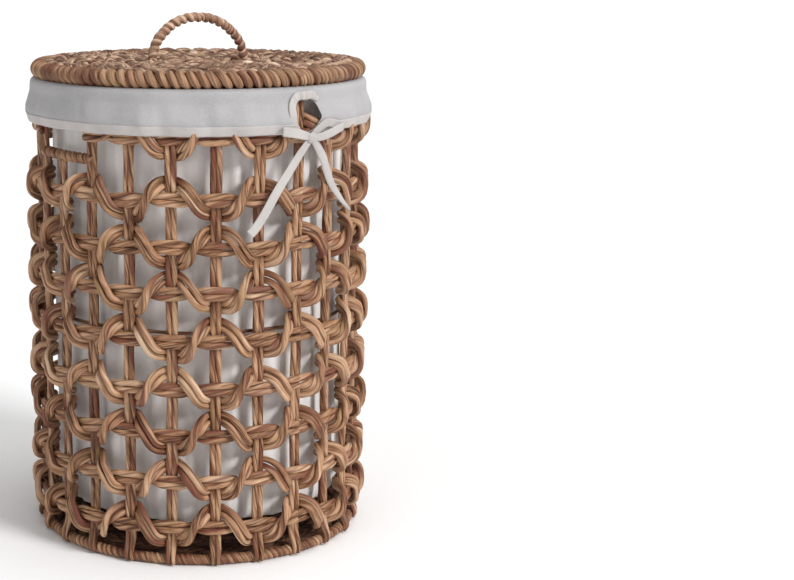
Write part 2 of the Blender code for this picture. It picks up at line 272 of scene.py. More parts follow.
leafShared = {
    "blotchAlong": 17.0, "streakAlong": 60.0, "blotch": 0.52, "streak": 0.38, "tone": 0.13,
    "fine": 0.44, "shift": -0.215, "redShare": 0.80, "oliveShare": 0.45, "grooveShadeShare": 0.95,
    "bump": 1.0, "rough": 0.40,
}
# in each look the darkest crease colour is painted shade, laid into the cord's creases
leafColours = {
    "wall": {
        **leafShared,
        "stops": [(0.34, tint(61, 31, 18)), (0.42, tint(115, 74, 49)), (0.51, tint(166, 123, 90)),
                  (0.60, tint(193, 153, 121)), (0.74, tint(220, 191, 163))],
        "red": tint(106, 52, 37), "olive": tint(146, 124, 82), "grooveShade": tint(38, 17, 10),
    },
    "lid": {
        **leafShared, "blotchAlong": 20.0,
        "stops": [(0.34, tint(56, 33, 22)), (0.42, tint(109, 78, 59)), (0.51, tint(167, 132, 108)),
                  (0.60, tint(203, 169, 142)), (0.74, tint(240, 218, 191))],
        "red": tint(98, 56, 39), "olive": tint(142, 122, 94), "grooveShade": tint(36, 18, 11),
    },
    "rim": {
        **leafShared, "blotchAlong": 26.0, "tone": 0.0, "blotch": 0.42, "streak": 0.22,
        "fine": 0.30, "shift": 0.045, "grooveShadeShare": 0.60,
        "stops": [(0.34, tint(70, 40, 24)), (0.42, tint(110, 74, 50)), (0.51, tint(157, 117, 88)),
                  (0.60, tint(184, 146, 115)), (0.74, tint(211, 180, 151))],
        "red": tint(92, 48, 32), "olive": tint(134, 110, 70), "grooveShade": tint(36, 17, 10),
    },
    "handle": {
        **leafShared, "blotchAlong": 26.0, "tone": 0.0, "streak": 0.30, "fine": 0.34,
        "shift": -0.06, "grooveShadeShare": 0.65,
        "stops": [(0.34, tint(74, 42, 29)), (0.42, tint(127, 88, 67)), (0.51, tint(180, 140, 115)),
                  (0.60, tint(213, 177, 151)), (0.74, tint(239, 217, 191))],
        "red": tint(106, 60, 42), "olive": tint(148, 122, 92), "grooveShade": tint(42, 21, 13),
    },
    # a darker copy of the wall leaf: painted shade for the base and the hoop cores, which lie in
    # shade
    "inside": {
        **leafShared, "rough": 0.5,
        "stops": [(0.34, tint(36, 18, 11)), (0.45, tint(70, 43, 28)), (0.56, tint(103, 69, 48)),
                  (0.74, tint(128, 92, 66))],
        "red": tint(64, 34, 22), "olive": tint(92, 76, 50), "grooveShade": tint(26, 12, 8),
    },
}


def cottonMaterial(name, look):
    sheet = NodeSheet(name)
    place = sheet.add("ShaderNodeTexCoord", out="Object")
    cloud = sheet.noise(place, look["cloudScale"], 3.0, 0.5)
    fleck = sheet.noise(place, 420.0, 2.0, 0.6)
    crumple = sheet.noise(place, look["crumpleScale"], 4.0, 0.6)
    colour = sheet.ramp(look["stops"], cloud * 0.7 + fleck * 0.3)
    ownMap = sheet.add("ShaderNodeTexCoord", out="UV")
    across, up = (sheet.part(ownMap, axis) * (2 * math.pi / look["thread"]) for axis in "XY")
    weave = across.maths("SINE", across) * up.maths("SINE", up)
    height = weave * look["weaveHeight"] + crumple * look["crumple"] + fleck * 0.15
    return sheet.finish({"Base Color": colour, "Roughness": 0.92,
                         "Normal": sheet.bump(look["bump"], 0.001, height),
                         "Specular IOR Level": 0.2})


clothColours = {
    "lining": {
        "stops": [(0.32, tint(160, 159, 160)), (0.50, tint(175, 173, 174)),
                  (0.70, tint(183, 181, 182))],
        "cloudScale": 11.0, "crumpleScale": 26.0, "crumple": 1.3, "weaveHeight": 0.10,
        "thread": 0.0011, "bump": 0.60,
    },
    # the same cotton as the lining, painted lighter and warmer: painted light for light reaching
    # it through the weave, and a painted warm reflection of the leaf
    "bag": {
        "stops": [(0.30, tint(228, 222, 218)), (0.55, tint(238, 234, 231)),
                  (0.75, tint(244, 242, 240))],
        "cloudScale": 9.0, "crumpleScale": 30.0, "crumple": 1.2, "weaveHeight": 0.10,
        "thread": 0.0011, "bump": 0.45,
    },
    "tape": {
        "stops": [(0.30, tint(181, 176, 173)), (0.55, tint(193, 187, 184)),
                  (0.75, tint(201, 196, 193))],
        "cloudScale": 30.0, "crumpleScale": 120.0, "crumple": 0.5, "weaveHeight": 0.16,
        "thread": 0.0009, "bump": 0.35,
    },
}

leaf = {key: fibreMaterial(f"{key}Leaf", look) for key, look in leafColours.items()}
cloth = {key: cottonMaterial(f"{key}Cotton", look) for key, look in clothColours.items()}
print("hamper: materials made")


# the section of one cord of folded leaf, as shares of a turn and of its radius: two creases
cordSection = {
    "turns": [0.0, 0.035, 0.13, 0.24, 0.34, 0.43, 0.465, 0.50, 0.60, 0.71, 0.82, 0.91, 0.965],
    "radii": [0.72, 1.0, 1.08, 1.06, 1.04, 1.0, 0.78, 1.0, 1.06, 1.07, 1.06, 1.03, 1.0],
}
cordNumbers = itertools.count(1)
coilTurn, coilCrease = 0.4, 0.35


def sweepCord(centres, outs, wide, thick, turn, closed, crease=1.0):
    # one cord along its centres. Thick is its half thickness towards outs, wide its half width
    number = next(cordNumbers)
    count, sides = len(centres), len(cordSection["turns"])
    heading = headings(centres, closed)
    outs = unit(outs - heading * (outs * heading).sum(axis=1, keepdims=True))
    side = np.cross(heading, outs)
    wide, thick, turn = (np.zeros(count) + value for value in (wide, thick, turn))
    turns, radii = np.array(cordSection["turns"]), np.array(cordSection["radii"])
    rng = random.Random(number)
    drift = np.stack([wander(rng, count, 0.022, (3, 8, 15)) for _ in range(2)])
    depth = np.stack([np.clip(0.7 + wander(rng, count, 0.4, (4, 9, 17)), 0.1, 1.4)
                      for _ in range(2)])
    crest = (turns * 2.15 + 0.5).astype(int) % 2
    angle = 2 * np.pi * (turns[None, :] + drift[crest].T) + turn[:, None]
    radii = 1 - (1 - radii[None, :]) * np.where(radii < 0.9, crease * depth[crest].T, 1.0)
    points = (centres[:, None, :]
              + outs[:, None, :] * (thick[:, None] * radii * np.cos(angle))[..., None]
              + side[:, None, :] * (wide[:, None] * radii * np.sin(angle))[..., None])
    points = points.reshape(-1, 3)
    following = np.roll(centres, -1, axis=0) - centres
    along = np.concatenate([[0], np.cumsum(np.linalg.norm(following, axis=1))])
    rows = count if closed else count - 1
    i, j = np.meshgrid(np.arange(rows), np.arange(sides), indexing="ij")
    i, j = i.ravel(), j.ravel()
    nextI, nextJ = (i + 1) % count, (j + 1) % sides
    faces = np.stack([i * sides + j, i * sides + nextJ, nextI * sides + nextJ, nextI * sides + j],
                     axis=1)
    low, high = number + turns[j], number + np.where(nextJ == 0, 0.9998, turns[nextJ])
    maps = np.stack([along[i], low, along[i], high, along[i + 1], high, along[i + 1], low],
                    axis=1)
    faces, maps = faces.tolist(), maps.reshape(-1, 2)
    if not closed:
        ends = []
        for at, order in ((0, 1), (count - 1, 0)):
            tip = len(points)
            points = np.vstack([points, centres[at]])
            for k in range(sides):
                pair = (at * sides + (k + 1) % sides, at * sides + k)
                faces.append([tip, *(pair if order else pair[::-1])])
                ends += [[along[at], number + 0.5]] * 3
        maps = np.vstack([maps, ends])
    return points, faces, maps


def pairOfCords(centres, outs, gap, squeeze, swap, wide, thick, turn, closed, spread=0.0):
    # two cords side by side, which change places as swap grows
    secondTurn = 2.3
    heading = headings(centres, closed)
    outs = unit(outs - heading * (outs * heading).sum(axis=1, keepdims=True))
    side = np.cross(heading, outs)
    shells = []
    for half in (0, 1):
        angle = swap + half * np.pi + np.zeros(len(centres))
        offset = (side * (gap * np.cos(angle))[:, None]
                  + outs * (gap * squeeze * np.sin(angle))[:, None])
        flat = 1 + spread * np.sin(angle) ** 2
        shells.append(sweepCord(centres + offset, outs, wide * flat, thick,
                                turn + secondTurn * half, closed))
    return shells


def coilOfCord(centres, firstOuts, secondOuts, look, wide, thick, closed, loose, rng):
    # one cord wrapped round a line. The line has a point for each point of the cord
    count = len(centres)
    heading = headings(centres, closed)
    share = np.arange(count) / (count if closed else count - 1)
    angle = -2 * np.pi * look["wraps"] * share + wander(rng, count, loose, (11, 17, 23, 31))
    minor = look["minor"] + wander(rng, count, loose * 0.0009, (19, 29, 43))
    outs = firstOuts * np.cos(angle)[:, None] + secondOuts * np.sin(angle)[:, None]
    path = centres + outs * minor[:, None] - heading * (look["lean"] * np.sin(angle))[:, None]
    return sweepCord(path, outs, wide, thick, coilTurn, closed, coilCrease)


def makePiece(name, shells, material, body, standsFor=()):
    points = np.vstack([shell[0] for shell in shells])
    faces, start = [], 0
    for shell in shells:
        faces += [[start + corner for corner in face] for face in shell[1]]
        start += len(shell[0])
    mesh = bpy.data.meshes.new(name)
    mesh.from_pydata(points.tolist(), [], faces)
    maps = np.vstack([shell[2] for shell in shells])
    mesh.uv_layers.new(name="UVMap").data.foreach_set("uv", maps.ravel())
    mesh.polygons.foreach_set("use_smooth", [True] * len(mesh.polygons))
    obj = linked(name, mesh)
    return dress(obj, material, body, standsFor)


wall = {
    "uprights": 24, "radius": 0.2001, "span": 15.0,
    "rows": [0.4480, 0.3910, 0.3370, 0.2800, 0.2210, 0.1650, 0.1070, 0.0490],
    "topRow": 0.5200,
}


def makeUprights():
    look = {"gap": 0.0034, "wide": 0.0035, "thick": 0.0035, "points": 110, "pitch": 0.10,
            "top": 0.5645, "shortTop": 0.4845, "short": (7, 19), "wave": 0.24,
            "foot": [(0.2060, 0.0030), (0.2082, 0.0070), (0.2076, 0.0140), (0.2035, 0.0230),
                     (0.2003, 0.0330)]}
    count = look["points"]
    for number in range(1, wall["uprights"] + 1):
        rng = random.Random(100 + number)
        top = look["shortTop"] if number in look["short"] else look["top"]
        straight = [(wall["radius"], height) for height in np.linspace(0.050, top, 12)]
        line = smoothLine(look["foot"] + straight, count)
        degrees = wall["span"] * (number - 1) + wander(rng, count, look["wave"], (1, 2, 3))
        centres = onWall(line[:, 0] + wander(rng, count, 0.0002, (2, 3)), degrees, line[:, 1])
        outs = onWall(1.0, degrees, 0.0)
        turn = rng.random() * 6 - 2 * np.pi * line[:, 1] / look["pitch"]
        swell = 1 + wander(rng, count, 0.09, (3, 5, 8))
        swell = swell * (0.66 + 0.34 * smooth(line[:, 1], 0.004, 0.034))
        gap = look["gap"] * (0.80 + 0.20 * swell)
        shells = pairOfCords(centres, outs, gap, 1.0, wander(rng, count, 0.10, (1, 2)),
                             look["wide"] * swell, look["thick"] * swell, turn, False)
        makePiece(f"uprightPair{number:02d}", shells, leaf["wall"], "basket",
                  [f"stake_{number:02d}"])


def courseLine(degrees, height, look, rng, closed):
    # x, the share of the way from one upright to the next, rules where the pair crosses
    count = len(degrees)
    x = (degrees / wall["span"]) % 1.0
    between = smooth(np.minimum(x, 1 - x), 0.18, 0.42)
    span = np.floor(degrees / wall["span"])
    radius = look["radius"] - look["press"] * between + wander(rng, count, 0.0002, (17, 31))
    heights = height + wander(rng, count, 0.0011, (5, 9, 13)) * (1 if closed else 0.5)
    centres = onWall(radius, degrees, heights)
    swap = np.pi * (span + smooth(x, *look["swap"]))
    slim = 1 - look["slim"] * between
    turn = rng.random() * 6 - 2 * np.pi * look["twist"] * degrees / wall["span"]
    turn = turn + wander(rng, count, 0.25, (7, 13))
    swell = 1 + wander(rng, count, 0.07, (13, 29, 37))
    gap = look["gap"] * (1 - look["slim"] * between)
    return pairOfCords(centres, onWall(1.0, degrees, 0.0), gap, look["squeeze"], swap,
                       look["wide"] * slim * swell, look["thick"] * slim, turn, closed)


def fullRound(perSpan):
    return np.arange(wall["uprights"] * perSpan) * wall["span"] / perSpan


def makeCourses():
    look = {"radius": 0.2064, "press": 0.0016, "gap": 0.0043, "squeeze": 0.55, "wide": 0.0042,
            "thick": 0.0033, "slim": 0.20, "swap": (0.30, 0.70), "twist": 0.5, "perSpan": 20,
            "topReach": 76.6}
    for row, height in enumerate(wall["rows"], start=1):
        rng = random.Random(200 + row)
        shells = courseLine(fullRound(look["perSpan"]), height, look, rng, True)
        makePiece(f"coursePair{row}", shells, leaf["wall"], "basket", [f"course_{row}"])
    for side, middle in (("Front", 0), ("Back", 180)):
        rng = random.Random(220 + middle)
        low, high = middle - look["topReach"], middle + look["topReach"] + 0.1
        degrees = np.arange(low, high, wall["span"] / look["perSpan"])
        shells = courseLine(degrees, wall["topRow"], look, rng, False)
        makePiece(f"topCoursePair{side}", shells, leaf["wall"], "basket",
                  [f"top_course_{side.lower()}"])


def waveLine(degrees, height, row, look, rng, closed):
    count = len(degrees)
    span = np.floor(degrees / wall["span"] + 1e-6)
    x = np.clip(degrees / wall["span"] - span, 0, 1)
    sign = np.where((row + span) % 2 == 0, 1.0, -1.0)
    eased = x - look["ease"] * np.sin(2 * np.pi * x) / (2 * np.pi)
    swing = look["swing"] * (1 + wander(rng, count, 0.05, (5, 12, 19)))
    heights = height + swing * sign * np.cos(np.pi * eased)
    heights = heights + wander(rng, count, 0.0013, (7, 11, 23))
    outer = smooth(np.minimum(x, 1 - x), 0.07, 0.42)
    radius = look["inner"] + (look["outer"] - look["inner"]) * outer
    radius = radius + wander(rng, count, 0.0002, (19, 27))
    centres = onWall(radius, degrees, heights)
    rising = sign < 0
    step = np.where(rising, smooth(x, *look["swap"]), 0.0)
    # how many times the wave has risen before this span
    before = np.array([sum(1 for past in range(int(span[0]), int(now)) if (row + past) % 2 != 0)
                       for now in span])
    swap = np.pi * (before + step)
    twisted = before + np.where(rising, smooth(x, 0.0, 1.0), 0.0)
    turn = rng.random() * 6 - 2 * np.pi * look["twist"] * twisted
    turn = turn + wander(rng, count, 0.3, (9, 15, 21))
    swell = 1 + wander(rng, count, 0.08, (13, 29, 37))
    return pairOfCords(centres, onWall(1.0, degrees, 0.0), look["gap"], look["squeeze"], swap,
                       look["wide"] * swell, look["thick"], turn, closed, look["spread"])


def makeWaves():
    look = {"inner": 0.1932, "outer": 0.2129, "topOuter": 0.2112, "swing": 0.0185, "ease": 0.6,
            "gap": 0.0043, "squeeze": 0.82, "wide": 0.0042, "thick": 0.0038, "spread": 0.06,
            "swap": (0.22, 0.78), "twist": 1.0, "perSpan": 24}
    for row, height in enumerate(wall["rows"], start=1):
        rng = random.Random(300 + row)
        shells = waveLine(fullRound(look["perSpan"]), height, row, look, rng, True)
        makePiece(f"wavePair{row}", shells, leaf["wall"], "basket", [f"wave_{row}"])
    look["outer"] = look["topOuter"]  # the cuff presses on the top waves
    for side, middle, reach in (("Front", 0, 61.25), ("Back", 180, 46.25)):
        rng = random.Random(320 + middle)
        low, high = middle - reach, middle + reach + 0.05
        degrees = np.arange(low, high, wall["span"] / look["perSpan"])
        shells = waveLine(degrees, wall["topRow"], 0, look, rng, False)
        makePiece(f"topWavePair{side}", shells, leaf["wall"], "basket",
                  [f"top_wave_{side.lower()}"])


makeUprights()
makeCourses()
makeWaves()
print("hamper: the wall is woven")


def ringCoil(name, look, rng, material, body, standsFor):
    count = look["wraps"] * look["perWrap"]
    degrees = np.arange(count) * 360 / count
    centres = onWall(look["radius"], degrees, look["height"])
    shell = coilOfCord(centres, onWall(1.0, degrees, 0.0), rowsOf((0, 0, 1), count), look,
                       look["wide"], look["thick"], True, look["loose"], rng)
    bpy.ops.mesh.primitive_torus_add(
        major_radius=look["radius"], minor_radius=look["minor"],
        major_segments=96, minor_segments=10, location=(0, 0, look["height"]))
    core = bpy.context.object
    core.name = name + "Core"
    placeInMesh(core)
    bpy.ops.object.shade_smooth()
    # the core takes the darker inside leaf: painted shade in the gaps between the wraps
    dress(core, leaf["inside"], body)
    return makePiece(name, [shell], material, body, standsFor)


def makeHoops():
    base = {"radius": 0.1995, "height": 0.0066, "minor": 0.0044, "wraps": 168, "perWrap": 14,
            "lean": 0.0020, "wide": 0.0039, "thick": 0.0021, "loose": 0.10}
    rim = {"radius": 0.2000, "height": 0.5700, "minor": 0.0030, "wraps": 140, "perWrap": 12,
           "lean": 0.0012, "wide": 0.0047, "thick": 0.0018, "loose": 0.10}
    middle = {"radius": 0.1888, "height": 0.2870, "wide": 0.0021, "thick": 0.0020, "twists": 16,
              "points": 320}
    ringCoil("baseRingWraps", base, random.Random(401), leaf["wall"], "basket",
             ["base_ring"])
    ringCoil("rimHoopWraps", rim, random.Random(402), leaf["wall"], "basket",
             ["rim_hoop"])
    rng = random.Random(403)
    count = middle["points"]
    degrees = np.arange(count) * 360 / count
    radius = middle["radius"] + wander(rng, count, 0.0002, (9, 13))
    height = middle["height"] + wander(rng, count, 0.0005, (7, 11))
    shell = sweepCord(onWall(radius, degrees, height), onWall(1.0, degrees, 0.0), middle["wide"],
                      middle["thick"], -2 * np.pi * middle["twists"] * degrees / 360, True)
    makePiece("midHoopCord", [shell], leaf["wall"], "basket", ["mid_hoop"])


def twinedRows(look, rng):
    shells = []
    rows = look["rows"]
    for row in range(rows):
        radius = look["outer"] + (look["inner"] - look["outer"]) * row / (rows - 1)
        count = max(24, int(2 * np.pi * radius / look["step"]))
        turns = max(1, round(2 * np.pi * radius / look["pitch"]))
        degrees = np.arange(count) * 360 / count + 37.0 * row
        height = look["height"] + wander(rng, count, look["bumpy"], (3, 5, 9))
        centres = onWall(radius + wander(rng, count, 0.0003, (4, 7)), degrees, height)
        way = 1 if row % 2 else -1
        swap = way * 2 * np.pi * turns * np.arange(count) / count + rng.random() * 6
        swell = 1 + wander(rng, count, 0.06, (5, 11, 17))
        shells += pairOfCords(centres, rowsOf((0, 0, 1), count), look["gap"], look["squeeze"],
                              swap, look["wide"] * swell, look["thick"],
                              -swap + rng.random() * 6, True)
    return shells


def spokeFan(look, height):
    # flat stakes that run out from the middle between the cords and close the gaps
    fan = {"points": 12, "from": 0.004, "overlap": 1.04, "step": 0.0007, "thick": 0.0006}
    shells = []
    reach = np.linspace(fan["from"], look["outer"] + fan["from"], fan["points"])
    for number in range(look["spokes"]):
        degrees = 360 * number / look["spokes"] + 0 * reach
        wide = fan["overlap"] * math.pi * reach / look["spokes"]
        centres = onWall(reach, degrees, height + fan["step"] * (number % 2) + 0 * reach)
        shells.append(sweepCord(centres, rowsOf((0, 0, 1), fan["points"]), wide, fan["thick"],
                                0.0, False, 0.2))
    return shells


def makeBase():
    look = {"rows": 15, "outer": 0.1865, "inner": 0.0120, "height": 0.0068, "bumpy": 0.0002,
            "gap": 0.0031, "squeeze": 0.55, "wide": 0.0050, "thick": 0.0026, "step": 0.0075,
            "pitch": 0.052, "spokes": 48}
    shells = twinedRows(look, random.Random(411)) + spokeFan(look, look["height"])
    # the base takes the darker inside leaf: painted shade under the bag and inside the wall
    makePiece("baseRows", shells, leaf["inside"], "basket", ["base_panel"])


def makeHandBars():
    look = {"radius": 0.1998, "height": 0.4902, "minor": 0.0033, "wraps": 11, "perWrap": 16,
            "lean": 0.0016, "wide": 0.0047, "thick": 0.0034, "loose": 0.10, "reach": 15.6,
            "core": 0.0030}
    for side, middle in (("Left", -90), ("Right", 90)):
        rng = random.Random(420 + middle)
        count = look["wraps"] * look["perWrap"] + 1
        low, high = middle - look["reach"], middle + look["reach"]
        degrees = np.linspace(low, high, count)
        heights = look["height"] + wander(rng, count, 0.0003, (1, 2))
        centres = onWall(look["radius"], degrees, heights)
        shells = [coilOfCord(centres, onWall(1.0, degrees, 0.0), rowsOf((0, 0, 1), count), look,
                             look["wide"], look["thick"], False, look["loose"], rng)]
        few = np.linspace(low, high, 24)
        shells.append(sweepCord(onWall(look["radius"], few, look["height"]),
                                onWall(1.0, few, 0.0), look["core"], look["core"], 0.0, False))
        makePiece(f"handBar{side}", shells, leaf["wall"], "basket",
                  [f"hand_bar_{side.lower()}"])


makeHoops()
makeBase()
makeHandBars()
print("hamper: hoops, base and hand bars made")


lidTop = 0.5938


def makeLid():
    roll = {"radius": 0.1996, "height": 0.5868, "minor": 0.0060, "wraps": 106, "perWrap": 16,
            "lean": 0.0022, "wide": 0.0048, "thick": 0.0050, "loose": 0.50}
    ringCoil("lidRollWraps", roll, random.Random(501), leaf["rim"], "lid",
             ["lid_roll"])
    look = {"rows": 15, "outer": 0.1868, "inner": 0.0110, "height": lidTop - 0.0024,
            "bumpy": 0.0010, "gap": 0.0037, "squeeze": 0.95, "wide": 0.0045, "thick": 0.0041,
            "step": 0.0038, "pitch": 0.046, "spokes": 48, "spokesBelow": 0.0010}
    shells = twinedRows(look, random.Random(502))
    shells += spokeFan(look, look["height"] - look["spokesBelow"])
    makePiece("lidRows", shells, leaf["lid"], "lid", ["lid_panel"])


def makeHandle():
    look = {"reach": 0.0575, "turn": -30.0, "foot": 0.0060, "lift": 0.0012, "flat": 0.0035,
            "minor": 0.0024, "wraps": 21, "perWrap": 18, "lean": 0.0022, "wide": 0.0041,
            "thick": 0.0037, "loose": 0.22, "core": 0.0031}
    rng = random.Random(511)
    count = look["wraps"] * look["perWrap"] + 1
    turn = math.radians(look["turn"])
    along = np.array([math.cos(turn), math.sin(turn), 0])
    across = np.array([-along[1], along[0], 0])
    rise = np.array([0, 0, 1])
    arch = np.pi * look["reach"]
    run = np.linspace(-look["foot"], arch + look["foot"], count)
    angle = np.clip(run, 0, arch) / look["reach"]
    below = np.minimum(run, 0) + np.minimum(arch - run, 0)
    outs = -np.cos(angle)[:, None] * along + np.sin(angle)[:, None] * rise
    wobble = wander(rng, count, 0.0006, (1, 2, 3))[:, None] * across
    drop = below - look["flat"] * np.sin(angle)
    centres = outs * look["reach"] + (lidTop + look["lift"]) * rise + drop[:, None] * rise + wobble
    # the wrapping is thickest above the left foot
    knobbly = 1 + 0.16 * np.exp(-((angle - 0.6) / 0.6) ** 2)
    knobbly = knobbly + wander(rng, count, 0.07, (11, 17, 29))
    shells = [coilOfCord(centres, outs, rowsOf(across, count), look, look["wide"] * knobbly,
                         look["thick"] * knobbly, False, look["loose"], rng)]
    shells.append(sweepCord(centres[::8], outs[::8], look["core"], look["core"], 0.0, False))
    makePiece("lidHandle", shells, leaf["handle"], "lid", ["lid_handle"])


makeLid()
makeHandle()
print("hamper: the lid is made")


def gridSheet(name, rings, closedRound, lengths):
    # rings of points, one inside the other, made one sheet with a map in metres
    rings = np.asarray(rings)
    rows, count = rings.shape[:2]
    mesh = bpy.data.meshes.new(name)
    last = count if closedRound else count - 1
    u = [lengths[0] * j / last for j in range(last + 1)]
    v = [lengths[1] * i / (rows - 1) for i in range(rows)]
    faces, maps = [], []
    for i in range(rows - 1):
        for j in range(last):
            k = (j + 1) % count
            faces.append([i * count + j, i * count + k, (i + 1) * count + k, (i + 1) * count + j])
            maps += [(u[j], v[i]), (u[j + 1], v[i]), (u[j + 1], v[i + 1]), (u[j], v[i + 1])]
    mesh.from_pydata(rings.reshape(-1, 3).tolist(), [], faces)
    mesh.uv_layers.new(name="UVMap").data.foreach_set("uv", np.array(maps).ravel())
    return linked(name, mesh)


def makeBag():
    look = {"floor": 0.0412, "around": 360, "thickness": 0.0008, "widest": 0.1845, "soft": 0.0016,
            "map": (1.10, 0.73), "flat": (1.16, 0.73), "area": 0.72,
            "folds": ((7, 0.0028), (11, 0.0034), (17, 0.0032), (26, 0.0022), (39, 0.0012))}
    rng = random.Random(601)
    # radius and height above the bag's floor, then radius and height
    bottom = [(0.0030, 0), (0.06, 0), (0.12, 0.0002), (0.155, 0.0006), (0.174, 0.006),
              (0.1808, 0.022), (0.1818, 0.06)]
    sides = [(0.1820, 0.16), (0.1820, 0.26), (0.1820, 0.36), (0.1820, 0.46), (0.1832, 0.53),
             (0.1868, 0.5560), (0.1918, 0.5700), (0.1955, 0.5752), (0.2000, 0.5757)]
    line = smoothLine([(r, look["floor"] + z) for r, z in bottom] + sides, 96)
    degrees = np.arange(look["around"]) * 360 / look["around"]
    turn = np.radians(degrees)
    folds = [(n, size, rng.random() * 6.28, rng.uniform(-5, 5), rng.random() * 6.28)
             for n, size in look["folds"]]
    rings = []
    for radius, height in line:
        # the folds die out towards the middle of the floor and towards the rim
        fade = smooth(radius, 0.03, 0.17) * (1 - smooth(height, 0.50, 0.565))
        shift = np.zeros(look["around"])
        for n, size, phase, tilt, other in folds:
            bent = 0.8 * np.sin(3 * turn + other + 6 * height)
            wave = np.sin(n * turn + phase + tilt * height + bent)
            strength = 0.75 + 0.25 * np.sin(9 * height + other)
            shift += size * (0.90 - 1.45 * np.abs(wave) ** 0.8) * strength
        onFloor = radius < 0.15 and height < 0.06
        lift = 0.0006 * np.sin(5 * turn + 20 * radius) * (1 if onFloor else 0)
        loose = radius + shift * fade
        if height < 0.55:
            # no fold goes past the wall's inside
            room = look["widest"] - loose
            loose = look["widest"] - (room + np.sqrt(room**2 + look["soft"] ** 2)) / 2
        rings.append(onWall(loose, degrees, height + lift))
    obj = gridSheet("linerBag", rings, True, look["map"])
    makeActive(obj)
    bpy.ops.object.mode_set(mode="EDIT")
    bpy.ops.mesh.select_all(action="DESELECT")
    bpy.ops.object.mode_set(mode="OBJECT")
    for vertex in obj.data.vertices:
        vertex.select = vertex.index < look["around"]
    bpy.ops.object.mode_set(mode="EDIT")
    bpy.ops.mesh.select_mode(type="VERT")
    bpy.ops.mesh.edge_face_add()  # closes the middle of the floor
    bpy.ops.object.mode_set(mode="OBJECT")
    turnOutwards(obj)
    useModifier(obj, "SOLIDIFY", thickness=look["thickness"], offset=0.0)
    smoothAll(obj)
    # the bag's cotton is lighter and warmer than the cuff's: painted light
    dress(obj, cloth["bag"], "liner", ["liner"])


cuff = {
    "around": 720, "thickness": 0.0009, "hemTop": 0.5345, "hemThickness": 0.0007,
    "hemOut": 0.0008, "map": (1.35, 0.078), "hemMap": (1.35, 0.012), "flat": (1.36, 0.080),
    # radius and height, from the inside of the rim to the hem
    "profile": [(0.1962, 0.5735), (0.1985, 0.5760), (0.2020, 0.5764), (0.2070, 0.5758),
                (0.2106, 0.5725), (0.2114, 0.5670), (0.2116, 0.5600), (0.2142, 0.5510),
                (0.2166, 0.5430), (0.2170, 0.5370), (0.2152, 0.5300), (0.2128, 0.5232)],
    # how many waves there are round the cuff, and their size
    "wrinkles": ((9, 0.0009), (14, 0.0009), (21, 0.0008), (33, 0.0005), (47, 0.0003)),
    # where each crease is in degrees, how wide it is in degrees and how far it goes in or out
    "creases": ((-76, 2.0, -0.0026), (-70, 3.2, 0.0012), (-84, 5.0, -0.0016),
                (-52, 1.4, -0.0008), (-33, 1.8, -0.0010), (-12, 1.5, -0.0008),
                (10, 1.6, -0.0009), (24, 1.5, -0.0008), (49, 1.6, -0.0009),
                (118, 2.0, -0.0012), (163, 1.7, -0.0010), (-140, 1.9, -0.0012)),
    "lump": 0.0022,  # how far the strands of the weave push it out
    "slack": 0.0018,  # how far it falls in over the hand holes
}


def cuffShape(rng):
    turn = np.radians(np.arange(cuff["around"]) * 360 / cuff["around"])
    degrees = np.degrees(turn)
    wrinkles = [(n, size, rng.gauss(0, 1) * 0.5 + 1, rng.random() * 6.28, rng.uniform(-60, 60))
                for n, size in cuff["wrinkles"]]
    x = (degrees / wall["span"]) % 1.0
    near = np.minimum(np.abs((degrees + 180) % 360 - 180), np.abs((degrees % 360) - 180))
    overWeave = smooth(np.minimum(x, 1 - x), 0.12, 0.45) * (near < 62)
    overHole = smooth(near, 66, 80)

    def radiusAt(radius, height):
        loose = smooth(0.572 - height, 0.0, 0.025)
        shift = np.zeros(len(turn))
        for n, size, scale, phase, tilt in wrinkles:
            shift += size * scale * np.sin(n * turn + phase + tilt * (height - 0.55))
        for middle, width, depth in cuff["creases"]:
            away = (degrees - middle + 40 * (height - 0.55) + 180) % 360 - 180
            shift += depth * np.exp(-(away / width) ** 2)
        lump = overWeave * (1 - smooth(height, 0.532, 0.552))
        slack = overHole * (1 - smooth(height, 0.530, 0.556))
        return radius + loose * shift + cuff["lump"] * lump - cuff["slack"] * slack
    return radiusAt


def clothCutter(outline, depth):
    # a plug with the outline, given as degrees round the wall and heights
    count = len(outline)
    degrees, heights = np.array(outline).T
    rings = [onWall(keyhole["cutRadius"] + way * depth, degrees, heights) for way in (-1, 1)]
    mesh = bpy.data.meshes.new("keyholeCutter")
    faces = [[j, (j + 1) % count, count + (j + 1) % count, count + j] for j in range(count)]
    faces += [list(range(count)), list(range(2 * count - 1, count - 1, -1))]
    mesh.from_pydata(np.vstack(rings).tolist(), [], faces)
    obj = linked("keyholeCutter", mesh)
    turnOutwards(obj)
    return obj


keyhole = {
    "degrees": 0.9, "height": 0.5450, "radius": 0.217, "cutRadius": 0.214, "cutDepth": 0.02,
    "ease": 0.0010,
    # degrees round the wall and heights
    "outline": [(-3.2, 0.5606), (0.0, 0.5609), (2.1, 0.5615), (3.8, 0.5571), (5.3, 0.5487),
                (5.8, 0.5406), (4.6, 0.5369), (3.4, 0.5306), (1.1, 0.5258), (-0.8, 0.5263),
                (-2.55, 0.5306), (-3.85, 0.5343), (-4.1, 0.5456), (-3.75, 0.5561)],
}


def keyholeOutline(grow, count=60):
    # the hole's edge, moved outwards by grow, at even angles from its right and anticlockwise
    degrees, heights = np.array(keyhole["outline"]).T
    across = np.radians(degrees - keyhole["degrees"]) * keyhole["radius"]
    up = heights - keyhole["height"]
    angle = np.linspace(0, 2 * np.pi, count, endpoint=False)
    reach = np.interp(angle, np.arctan2(up, across), np.hypot(across, up), period=2 * np.pi)
    soft = sum(np.interp(angle + shift, angle, reach, period=2 * np.pi)
               for shift in (-0.08, 0, 0.08)) / 3 + keyhole["ease"] + grow
    return list(zip(keyhole["degrees"] + np.degrees(soft * np.cos(angle) / keyhole["radius"]),
                    keyhole["height"] + soft * np.sin(angle)))


